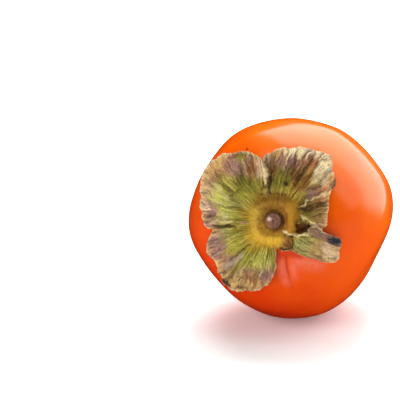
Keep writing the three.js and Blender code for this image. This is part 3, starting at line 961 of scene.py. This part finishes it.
# Fine dark folds and gaps, pressed in, and darkened with painted shade: (path, half width, strength)
FOLDS = [
    ([(-4.6, 8.7), (-1.0, 9.3), (3.4, 8.8)], 0.5, 0.6),
    ([(8.3, 3.4), (8.5, 0.6), (8.0, -2.0)], 0.45, 0.6),
    ([(-4.0, 19.1), (-2.8, 17.5)], 0.5, 0.8),
    ([(-1.6, 16.2), (-1.9, 12.6), (-2.8, 11.0)], 0.6, 0.95),
    ([(12.4, 18.1), (13.2, 20.2), (15.7, 21.2)], 0.36, 0.9),
    ([(11.0, 15.2), (12.0, 17.4)], 0.36, 0.8),
    ([(14.2, 14.4), (16.6, 15.4), (17.6, 17.6)], 0.36, 0.5),
    ([(8.0, 15.3), (6.9, 12.3)], 0.8, 0.8),
    ([(5.2, 16.0), (6.8, 20.4)], 0.4, 0.7),
    ([(9.4, 16.4), (11.2, 20.6)], 0.4, 0.6),
    ([(2.6, 15.6), (3.0, 19.6)], 0.4, 0.55),
    ([(8.4, 4.2), (12.6, 5.0), (15.7, 6.1)], 0.5, 0.8),
    ([(11.2, 10.6), (15.2, 12.2)], 0.4, 0.7),
    ([(10.4, 8.4), (14.6, 9.6)], 0.36, 0.6),
    ([(9.2, 0.9), (12.4, 0.2)], 0.4, 0.75),
    ([(11.4, 2.6), (15.6, 2.4)], 0.36, 0.6),
    ([(-15.1, -14.3), (-11.4, -11.3), (-7.9, -8.4)], 0.45, 0.85),
    ([(-15.5, 7.3), (-11.4, 10.2)], 0.42, 0.6),
    ([(-17.8, 11.2), (-14.5, 8.7)], 0.42, 0.6),
    ([(-14.6, 15.0), (-11.6, 10.8)], 0.42, 0.55),
    ([(-20.0, 13.4), (-16.4, 10.2)], 0.4, 0.5),
    ([(-13.0, 18.4), (-11.4, 14.2)], 0.42, 0.6),
    ([(-9.6, 17.6), (-8.4, 12.8)], 0.4, 0.6),
    ([(-20.6, -2.7), (-16.4, -2.3), (-13.2, -2.7)], 0.5, 0.8),
    ([(-23.8, 0.4), (-20.6, 0.6)], 0.4, 0.6),
    ([(7.9, -0.2), (12.4, -0.3)], 0.34, 0.9),
    ([(12.3, -0.6), (11.8, -3.2)], 0.34, 0.9),
    ([(4.0, -4.9), (6.4, -4.9), (7.1, -6.4), (7.0, -8.2), (5.5, -9.4), (2.6, -9.2)], 0.42, 0.95),
    ([(9.6, -6.2), (13.0, -6.6), (17.0, -7.6)], 0.34, 0.4),
    ([(9.0, -8.8), (13.0, -10.0), (16.4, -11.4)], 0.34, 0.45),
    ([(-12.6, -23.6), (-9.6, -23.8)], 0.45, 0.8),
    ([(-9.8, -16.8), (-7.8, -20.6)], 0.36, 0.5),
    ([(-5.6, -15.6), (-4.6, -20.0)], 0.36, 0.5),
]
# Fine pale edges and threads, raised, pale partly by their own colour and partly by painted highlight: (path,
# half width, strength)
EDGES = [
    ([(-3.7, 17.4), (-2.9, 15.2), (-2.8, 12.6)], 0.5, 0.85),
    ([(12.1, 7.6), (14.6, 8.6), (17.3, 10.1)], 0.34, 0.75),
    ([(9.6, 5.2), (11.5, 7.3)], 0.34, 0.7),
    ([(9.3, 1.8), (11.4, 1.0), (13.6, -0.2)], 0.32, 0.85),
    ([(-21.3, -1.4), (-17.6, -0.6), (-13.9, -1.1)], 0.42, 0.65),
    ([(-20.0, 1.0), (-15.0, 0.8)], 0.36, 0.5),
    ([(3.3, -3.3), (4.8, -3.9), (7.3, -4.5), (10.3, -4.3), (11.9, -3.6)], 0.36, 0.95),
    ([(11.9, -3.4), (12.8, -1.1)], 0.34, 0.8),
    ([(12.9, -0.9), (15.1, -1.6), (17.6, -3.4)], 0.34, 0.6),
    ([(13.4, 17.4), (14.6, 19.6), (17.0, 20.2)], 0.4, 0.7),
    ([(-22.6, 11.4), (-19.4, 9.6), (-16.0, 6.4)], 0.4, 0.6),
    ([(-21.6, 5.6), (-16.6, 4.4)], 0.4, 0.5),
]


# A loose splinter beside the upper right lobe: (x, y, half width, height over the skin)
SPLINTER = [
    (17.3, 10.0, 0.25, 0.8),
    (17.9, 11.1, 0.5, 1.0),
    (18.3, 12.2, 0.58, 1.25),
    (18.4, 13.2, 0.4, 1.5),
    (18.4, 14.2, 0.06, 1.7),
]
SPLINTER_THICKNESS = 0.25
SPLINTER_CURL = 0.25
SPLINTER_ROWS = 24
SPLINTER_COLUMNS = 7
SPLINTER_SHADE = 0.62


def traced(places, strokes, seed):
    """How far each place is covered by fine ragged strokes, from 0 to 1."""
    flat = places.reshape(-1, 2)
    sway = np.stack([ripples(flat, 2.2, seed), ripples(flat, 2.2, seed + 1)], axis=-1)
    ragged = flat + 0.2 * sway
    cover = np.zeros(len(flat))
    for path, width, strength in strokes:
        near = line_distance(ragged, path) / width
        cover = np.maximum(cover, strength * (1 - smooth(near, 0.25, 1.75)))
    return cover


def sheet(place, under, thickness):
    """A closed sheet over a grid of flat places, from its height over the skin and its thickness."""
    angle = np.degrees(np.arctan2(place[..., 1], place[..., 0]))
    radius = np.linalg.norm(place, axis=-1)
    upper = over_skin(radius, angle, under + thickness).reshape(-1, 3)
    lower = over_skin(radius, angle, under).reshape(-1, 3)
    return np.vstack([upper, lower]), sheet_faces(*radius.shape)


def splinter_shell():
    share = np.linspace(0, len(SPLINTER) - 1, SPLINTER_ROWS)
    x, y, half, height = (np.interp(share, range(len(SPLINTER)), column) for column in zip(*SPLINTER))
    middle_line = np.stack([x, y], axis=-1)
    along = np.gradient(middle_line, axis=0)
    along /= np.linalg.norm(along, axis=1, keepdims=True)
    sideways = np.stack([-along[:, 1], along[:, 0]], axis=-1)
    across = np.linspace(-1, 1, SPLINTER_COLUMNS)
    place = middle_line[:, None] - sideways[:, None] * (half[:, None] * across)[..., None]
    curled = height[:, None] + SPLINTER_CURL * across**2
    points, faces = sheet(place, curled, SPLINTER_THICKNESS)
    return points, faces, np.ones(len(points))


def lobe_shell(lobe):
    rim, run = smooth_line(lobe.rim, LOBE_COLUMNS)
    across = np.linspace(0, 1, LOBE_COLUMNS)
    root_angle = lobe.root[0] + (lobe.root[1] - lobe.root[0]) * across
    root = on_axis(ROOT_RADIUS, root_angle, 0.0)[:, :2]
    notch = ripples(run[:, None], RIM_NOTCH_LENGTH, lobe.seed)
    notch += 0.5 * ripples(run[:, None], RIM_NICK_LENGTH, lobe.seed + 1)
    notch *= lobe.ragged * RIM_NOTCH * smooth(run, 0, 3) * smooth(run[-1] - run, 0, 3)
    outwards = rim - root
    outwards /= np.linalg.norm(outwards, axis=1, keepdims=True)
    drawn_in = RIM_DRAWN_IN * smooth(np.linalg.norm(rim, axis=1), 12, 19)
    rim = rim + outwards * (notch - drawn_in)[:, None]
    reach, across = np.meshgrid(np.linspace(0, 1, LOBE_ROWS) ** 0.9, across, indexing="ij")
    place = root[None] + (rim - root)[None] * reach[..., None]
    rise, free = stand_off(lobe, place, reach)

    flat, out = place.reshape(-1, 2), reach.reshape(-1)
    crumple = CRUMPLE * ripples(flat, CRUMPLE_LENGTH, lobe.seed + 2)
    crinkle = CRINKLE * ripples(flat, CRINKLE_LENGTH, lobe.seed + 3, 24)
    ribbed = np.stack([across.reshape(-1) * lobe.fibres, out * 1.6], -1)
    ribs = RIB * ripples(ribbed, RIB_LENGTH, lobe.seed + 4, 24)
    rims = np.stack([np.tile(run, LOBE_ROWS), out * 4], -1)
    wave = RIM_WAVE * ripples(rims, RIM_WAVE_LENGTH, lobe.seed + 5)
    wave *= lobe.ragged * smooth(out, 0.7, 1.0)
    traces = EDGE_RISE * traced(flat, EDGES, EDGE_SEED) - FOLD_DEPTH * traced(flat, FOLDS, FOLD_SEED)
    fine = (crumple + crinkle + ribs + wave + traces).reshape(reach.shape) * free
    under = CLEARANCE + np.maximum(rise + fine, 0.05)
    points, faces = sheet(place, under, SHEET * (1 - RIM_THINNING * smooth(reach, 0.75, 1.0)))
    margin = np.minimum(across, 1 - across) * run[-1] / 12.0
    rim_share = np.maximum(reach, 1 - margin).clip(0, 1).reshape(-1)
    return points, faces, np.concatenate([rim_share, rim_share])


def disc_shell():
    angle = np.linspace(0, 360, DISC_COLUMNS, endpoint=False)
    squareness = 1 + RING_SQUARENESS * np.cos(np.radians(4 * (angle - 45)))
    upper, lower = [], []
    for radius in DISC_RADIUS * np.linspace(0.02, 1, DISC_ROWS):
        wall = smooth(radius, SOCKET_RADIUS - WALL_INSIDE, SOCKET_RADIUS + WALL_OUTSIDE)
        body = DISC_BODY + (DISC_EDGE - DISC_BODY) * smooth(radius, RING_RADIUS, DISC_RADIUS)
        ring = RING_HEIGHT * bell((radius / squareness - RING_RADIUS) / RING_WIDTH)
        thickness = SOCKET_FLOOR + (body + ring - SOCKET_FLOOR) * wall
        spread = np.full_like(angle, radius)
        place = on_axis(spread, angle, 0.0)[:, :2]
        rough = DISC_ROUGH * ripples(place, DISC_ROUGH_LENGTH, DISC_SEED, 24)
        rough += DISC_SWELL * ripples(place, DISC_SWELL_LENGTH, DISC_SEED + 1)
        thickness = thickness + rough * smooth(radius, 3.6, 5.0)
        upper.append(over_skin(spread, angle, CLEARANCE + thickness))
        lower.append(over_skin(spread, angle, np.full_like(angle, CLEARANCE)))
    top = np.array([0.0, 0.0, SEAT_LEVEL + CLEARANCE + SOCKET_FLOOR])
    bottom = np.array([0.0, 0.0, SEAT_LEVEL + CLEARANCE])
    points, faces = ringed(upper + lower[::-1], top, bottom)
    return points, faces, np.zeros(len(points))


def make_calyx():
    """Disc, lobes and splinter in one mesh, with how near each point is to a rim, a fold and an edge."""
    points, faces, reach = np.zeros((0, 3)), [], np.zeros(0)
    for more, more_faces, more_reach in (disc_shell(), *map(lobe_shell, LOBES), splinter_shell()):
        first = len(points)
        points = np.vstack([points, more])
        faces += [tuple(first + corner for corner in face) for face in more_faces]
        reach = np.concatenate([reach, more_reach])
    fold = traced(points[:, :2], FOLDS, FOLD_SEED)
    # The splinter comes last, and is dark all over
    fold[first:] = SPLINTER_SHADE
    edge = traced(points[:, :2], EDGES, EDGE_SEED)
    made = make_object("persimmon_calyx", points, faces, {"reach": reach, "fold": fold, "edge": edge})
    made.data.materials.append(make_dry_leaf())
    return made


def make_dry_leaf():
    """Dry calyx leaf: ochre hub, green lobes that turn purple and tan towards the rim, all drawn out along
    the fibres, with folds, veins and dark dots. Painted shade darkens the folds, gaps, a recess and the hub
    bowl's upper side; painted light brightens the bowl's lower side, and painted highlights lie along fibre
    ridges, raised edges and the upper right lobe's top rim."""
    made, tree = new_material("persimmon dry calyx")
    place = axis_place(tree)
    flat, radius = flat_place(tree, place)
    off_hub = stepped(tree, radius, 6.8, 10.8, 0.22, 1.0)

    def fibres(count, length, wobble):
        found = use(tree, FIBRES, Place=place, Count=count, Length=length, Wobble=wobble)
        return times(tree, math_node(tree, "SUBTRACT", found, 0.5), off_hub)

    broad = fibres(8.0, 12.0, 0.3)
    fine = fibres(21.0, 8.0, 0.16)
    hair = fibres(52.0, 5.0, 0.1)
    drawn = math_node(tree, "MULTIPLY_ADD", fine, 0.62, math_node(tree, "MULTIPLY_ADD", broad, 0.3, 1.0))
    streaked = vector_node(tree, "SCALE", flat, scale=drawn)
    ragged = pushed(tree, streaked, flat, reach=2.4, scale=0.4, detail=4.0, roughness=0.6)
    slight = pushed(tree, flat, flat, reach=1.9, scale=1.1, detail=3.0, roughness=0.6)

    reach = attribute(tree, "reach")
    drift = math_node(tree, "MULTIPLY_ADD", fine, 0.9, times(tree, broad, 0.7))
    drifted = math_node(tree, "ADD", reach, drift)
    colour = mixed(tree, stepped(tree, radius, 4.4, 8.6), DEEP_OCHRE, OCHRE)
    colour = mixed(tree, stepped(tree, drifted, 0.02, 0.3), colour, LOBE_GREEN)
    colour = mixed(tree, stepped(tree, drifted, 0.5, 0.72), colour, LOBE_PURPLE)
    colour = mixed(tree, stepped(tree, drifted, 0.78, 0.94), colour, TAN)
    for x, y, size, softness, strength, paint in PATCHES:
        colour = tinted(tree, colour, patched(tree, ragged, x, y, size, softness), strength, paint)
    mottled = noise(tree, flat, 1.3, 4.0, 0.65)
    rim = times(tree, stepped(tree, reach, 0.93, 0.985), stepped(tree, mottled, 0.3, 0.5))
    colour = tinted(tree, colour, rim, 0.6, PALE_TAN)
    # Darker along the fibres' grooves and paler along their ridges: partly the fibres' own streaks, partly
    # painted shade and painted highlight of their fine relief
    colour = shaded(tree, colour, stepped(tree, fine, -0.16, 0.02, 0.48, 1.13), 0.9)
    colour = shaded(tree, colour, stepped(tree, hair, -0.15, 0.06, 0.68, 1.08), 0.9)
    colour = shaded(tree, colour, stepped(tree, mottled, 0.36, 0.6, 0.74, 1.1), 0.8)
    colour = tinted(tree, colour, stepped(tree, fine, 0.05, 0.18), 0.4, PALE_STRAW)

    gentle = pushed(tree, flat, flat, reach=2.2, scale=0.45, detail=1.0, roughness=0.4)
    threads = use(tree, FIBRES, Place=place, Count=30.0, Length=14.0, Wobble=0.3)
    threads = stepped(tree, threads, 0.36, 0.6, 0.45, 1.0)
    for path, width, softness, strength, paint in HUB_STROKES:
        mask = brushed(tree, gentle, path, width, softness)
        colour = tinted(tree, colour, mask, times(tree, threads, strength), paint)
    worn = stepped(tree, noise(tree, flat, 0.9, 3.0, 0.6), 0.34, 0.58, 0.4, 1.0)
    for path, width, softness, strength, paint in STROKES:
        mask = brushed(tree, slight, path, width, softness)
        if strength < 1:
            mask = times(tree, mask, times(tree, worn, strength))
        colour = mixed(tree, mask, colour, paint)
    # The folds' darkening is painted shade in the creases and gaps, and on the splinter its own dark brown
    for key, paint in (("fold", FOLD_BROWN), ("edge", EDGE_PALE_AND_HIGHLIGHT)):
        colour = tinted(tree, colour, attribute(tree, key), worn, paint)
    dots = use(tree, SPECKS, Place=flat, Spacing=1.5, Size=0.17, Share=0.22)
    dots = times(tree, dots, stepped(tree, radius, 8.6, 11.6))
    colour = tinted(tree, colour, dots, 0.85, BLACK)

    wrinkles = noise(tree, flat, 0.8, 4.0, 0.6)
    height = math_node(tree, "MULTIPLY_ADD", hair, 0.4, times(tree, wrinkles, 0.3))
    height = math_node(tree, "ADD", height, fine)
    pitted = times(tree, mottled, math_node(tree, "SUBTRACT", 1.0, off_hub))
    height = math_node(tree, "MULTIPLY_ADD", pitted, 0.22, height)
    roughness = math_node(tree, "MULTIPLY_ADD", mottled, 0.3, 0.5)
    finish_material(tree, colour, roughness, height, 0.0011, 0.85, **{"Specular IOR Level": 0.2})
    return made


# The stub and the style
def make_stub():
    foot = CLEARANCE + SOCKET_FLOOR + FIT_GAP
    top = foot + STUB_HEIGHT
    dimple = [(0, 1), (0.3, 0.98), (0.6, 0.86), (0.9, 0.64), (1.2, 0.38), (STUB_RADIUS - 1.5, 0.14)]
    shoulder = [(1.05, 0), (0.7, 0.05), (0.4, 0.18), (0.18, 0.42), (0.06, 0.75)]
    base = [(0.02, STUB_HEIGHT * 0.5), (0.1, 0.35), (0.25, 0.1), (0.45, 0), (STUB_RADIUS, 0)]
    profile = [(radius, top - STUB_DIMPLE * share) for radius, share in dimple]
    profile += [(STUB_RADIUS - inset, top - drop) for inset, drop in shoulder]
    profile += [(STUB_RADIUS - inset, foot + rise) for inset, rise in base]
    points, faces = turned(profile, ROUND_SIDES, SEAT_LEVEL)
    outer = np.linalg.norm(points[:, :2], axis=1)
    rough = STUB_ROUGH * ripples(points, STUB_ROUGH_LENGTH, STUB_SEED, 24)
    points[:, 2] += rough * smooth(outer, 0.2, 0.8) * (points[:, 2] > SEAT_LEVEL + foot + 0.5)
    made = make_object("persimmon_stem_stub", points, faces)
    made.data.materials.append(make_cut_stem())
    return made


def make_cut_stem():
    """Brown stem end, darker round its rim and in its middle, with a tan side and a painted highlight, a pale
    spot left of its middle.
    """
    made, tree = new_material("persimmon stem stub")
    place = axis_place(tree)
    flat, radius = flat_place(tree, place)
    grain = noise(tree, place, 1.4, 5.0, 0.7)
    colour = mixed(tree, stepped(tree, grain, 0.35, 0.65), linear(90, 56, 40), linear(140, 98, 78))
    colour = mixed(tree, stepped(tree, radius, 2.2, 3.0), colour, linear(70, 40, 26))
    colour = mixed(tree, stepped(tree, radius, 0.25, 0.7, 0.8, 0.0), colour, linear(48, 30, 28))
    tan_side = patched(tree, flat, -1.9, -1.5, 2.0, 0.8)
    colour = tinted(tree, colour, tan_side, 0.6, linear(156, 104, 60))
    # Painted highlight on the dimple's left wall
    painted_highlight = patched(tree, flat, -1.3, 0.5, 0.62, 0.8)
    colour = tinted(tree, colour, painted_highlight, 0.85, linear(232, 200, 186))
    rings = math_node(tree, "SINE", times(tree, radius, 9.0))
    height = math_node(tree, "MULTIPLY_ADD", rings, 0.12, grain)
    roughness = math_node(tree, "MULTIPLY_ADD", grain, 0.2, 0.22)
    finish_material(tree, colour, roughness, height, 0.0003, 0.3)
    return made


def make_style():
    foot = -POINT_DEPTH - STYLE_GAP
    base = [(0, 0), (STYLE_RADIUS - 0.3, 0), (STYLE_RADIUS - 0.06, 0.12), (STYLE_RADIUS, 0.34)]
    taper = [(0.95, 0.56), (0.82, 0.74), (0.62, 0.92), (0.46, 1.14), (0.36, 1.5)]
    tip = [(0.3, 0.45), (0.27, 0.15), (0.16, 0.03), (0, 0)]
    profile = [(radius, foot - drop) for radius, drop in base]
    profile += [(STYLE_RADIUS * share, foot - drop) for share, drop in taper]
    profile += [(STYLE_RADIUS * share, foot - STYLE_LENGTH + rise) for share, rise in tip]
    points, faces = turned(profile, ROUND_SIDES // 2)
    lobed = 0.5 + 0.5 * np.cos(4 * np.arctan2(points[:, 1], points[:, 0]))
    rough = (0.5 + 0.5 * ripples(points, STYLE_ROUGH_LENGTH, STYLE_SEED)).clip(0, 1)
    points[:, :2] *= (1 - STYLE_LOBES * lobed - STYLE_ROUGH * rough)[:, None]
    made = make_object("persimmon_style_tip", points, faces)
    material, tree = new_material("persimmon dry style")
    grain = noise(tree, axis_place(tree), 2.2, 4.0, 0.65)
    colour = mixed(tree, stepped(tree, grain, 0.35, 0.7), linear(30, 20, 16), linear(84, 58, 40))
    finish_material(tree, colour, math_node(tree, "MULTIPLY_ADD", grain, 0.25, 0.6), grain, 0.0003, 0.8)
    made.data.materials.append(material)
    return made


for piece, node, slot in (
    (make_fruit(), "fruit", "skin"),
    (make_calyx(), "calyx", "calyx"),
    (make_stub(), "stem_stub", "stub"),
    (make_style(), "style_tip", "style"),
):
    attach(piece, "root")
    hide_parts(node)


# The floor and the surroundings
FLOOR_HALF_SIDE = 3.0
WHITE = (1.0, 1.0, 1.0, 1.0)
WARM_WHITE = (1.0, 0.98, 0.96, 1.0)


def make_floor():
    mesh = bpy.data.meshes.new("floor")
    corners = [(x * FLOOR_HALF_SIDE, y * FLOOR_HALF_SIDE, 0) for x, y in ((-1, -1), (1, -1), (1, 1), (-1, 1))]
    mesh.from_pydata(corners, [], [(0, 1, 2, 3)])
    floor = add_object("floor", mesh)
    material, tree = new_material("pale floor")
    place = put(tree, "ShaderNodeTexCoord").outputs["Object"]
    soft = noise(tree, place, 14.0, 3.0)
    colour = mixed(tree, soft, linear(246, 246, 246), linear(252, 252, 252))
    away = vector_node(tree, "LENGTH", place, output="Value")
    # The floor glows white, less so round the fruit: a painted shadow in its glow
    glow = mixed(tree, stepped(tree, away, 0.04, 0.5), linear(112, 112, 112), WHITE)
    lit = {"Emission Color": glow, "Emission Strength": 1.0}
    finish_material(tree, colour, 0.9, soft, 0.0001, 0.1, **lit)
    mesh.materials.append(material)
    floor.visible_glossy = False


def make_surroundings():
    """Plain white to the camera, faint warm light to the scene, and next to none in reflections."""
    world = bpy.data.worlds.new("studio")
    bpy.context.scene.world = world
    world.use_nodes = True
    tree = world.node_tree
    tree.nodes.clear()
    rays = put(tree, "ShaderNodeLightPath").outputs
    seen, around, shine = (
        put(tree, "ShaderNodeBackground", {"Color": colour, "Strength": strength}).outputs[0]
        for colour, strength in ((WHITE, 1.0), (WARM_WHITE, 0.22), (WARM_WHITE, 0.008))
    )
    both = put(tree, "ShaderNodeMixShader", {0: rays["Is Glossy Ray"], 1: around, 2: shine}).outputs[0]
    result = put(tree, "ShaderNodeMixShader", {0: rays["Is Camera Ray"], 1: both, 2: seen}).outputs[0]
    put(tree, "ShaderNodeOutputWorld", {"Surface": result})


make_floor()
make_surroundings()
bpy.context.scene.view_settings.view_transform = "Standard"
